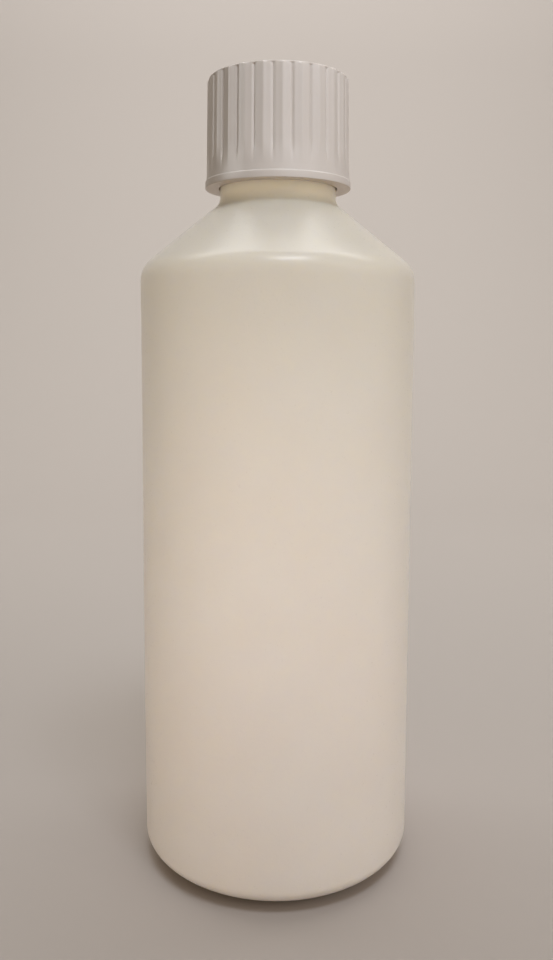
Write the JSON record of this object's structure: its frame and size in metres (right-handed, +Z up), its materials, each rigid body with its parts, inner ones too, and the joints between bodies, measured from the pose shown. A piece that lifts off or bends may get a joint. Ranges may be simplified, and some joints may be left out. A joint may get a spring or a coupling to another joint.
{
  "type": "wash bottle",
  "caption": "Round half-litre laboratory bottle of natural translucent plastic with a conical shoulder and a ribbed white screw cap.",
  "frame": {"origin": "centre of the ring that the bottle stands on, on the bottle's axis at its lowest level", "axes": "+Z up along the axis of the bottle, neck and cap thread; +X through one side of the moulding's parting line"},
  "size_m": [0.068, 0.068, 0.1945],
  "materials": {
    "natural_plastic": "translucent natural polyethylene, satin with a faint moulded grain",
    "white_plastic": "white polypropylene, satin",
    "foam": "expanded polyethylene foam, matt, fine closed cells"
  },
  "bodies": {
    "body": {"bottle": "natural_plastic"},
    "liner": {"cap_liner": "foam"},
    "cap": {"screw_cap": "white_plastic"}
  },
  "joints": [
    {"name": "cap_lift", "type": "slide", "parent": "body", "child": "liner", "axis": [0, 0, 1], "range_m": [0, 0.03]},
    {"name": "cap_turn", "type": "hinge", "parent": "liner", "child": "cap", "pos_m": [0, 0, 0.1683], "axis": [0, 0, 1], "range_deg": [0, 2520]}
  ],
  "couplings": [
    {"joint": "cap_lift", "follows": "cap_turn", "m_per_rad": 0.00067376}
  ]
}
